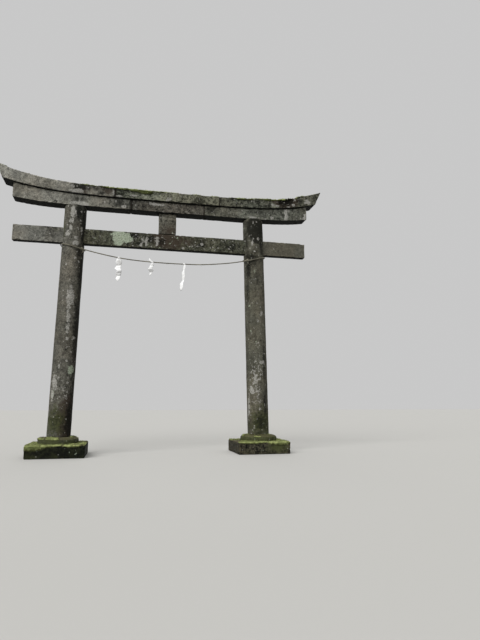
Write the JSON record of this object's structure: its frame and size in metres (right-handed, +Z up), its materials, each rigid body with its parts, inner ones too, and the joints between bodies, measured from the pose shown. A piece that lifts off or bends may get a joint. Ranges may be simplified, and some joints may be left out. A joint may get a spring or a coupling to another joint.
{
  "type": "stone torii gate",
  "caption": "Weathered stone torii gate: round leaning pillars on seat stones, a through tie beam, and stacked upswept lintels, with a straw rope and paper streamers.",
  "frame": {"origin": "on the ground, midway between the two pillars", "axes": "+X along the gate, -Y towards the front, +Z up"},
  "size_m": [4.1938, 0.65, 3.5178],
  "materials": {
    "pillar_stone": "weathered granite with lichen",
    "beam_stone": "weathered granite",
    "strut_stone": "brown-stained granite",
    "lintel_stone": "weathered granite with moss along the top",
    "footing_stone": "mossy granite",
    "straw": "weathered twisted straw",
    "paper": "matt white paper"
  },
  "bodies": {
    "root": {"base_slab_left": "footing_stone", "base_slab_right": "footing_stone", "pillar_seat_left": "footing_stone", "pillar_seat_right": "footing_stone", "pillar_left": "pillar_stone", "pillar_right": "pillar_stone", "tie_beam_centre": "beam_stone", "tie_beam_end_left": "beam_stone", "tie_beam_end_right": "beam_stone", "centre_strut": "strut_stone", "lower_lintel_left": "lintel_stone", "lower_lintel_centre": "lintel_stone", "lower_lintel_right": "lintel_stone", "top_lintel_left": "lintel_stone", "top_lintel_centre": "lintel_stone", "top_lintel_right": "lintel_stone", "straw_rope": "straw", "paper_streamer_left": "paper", "paper_streamer_middle": "paper", "paper_streamer_right": "paper"}
  },
  "joints": []
}
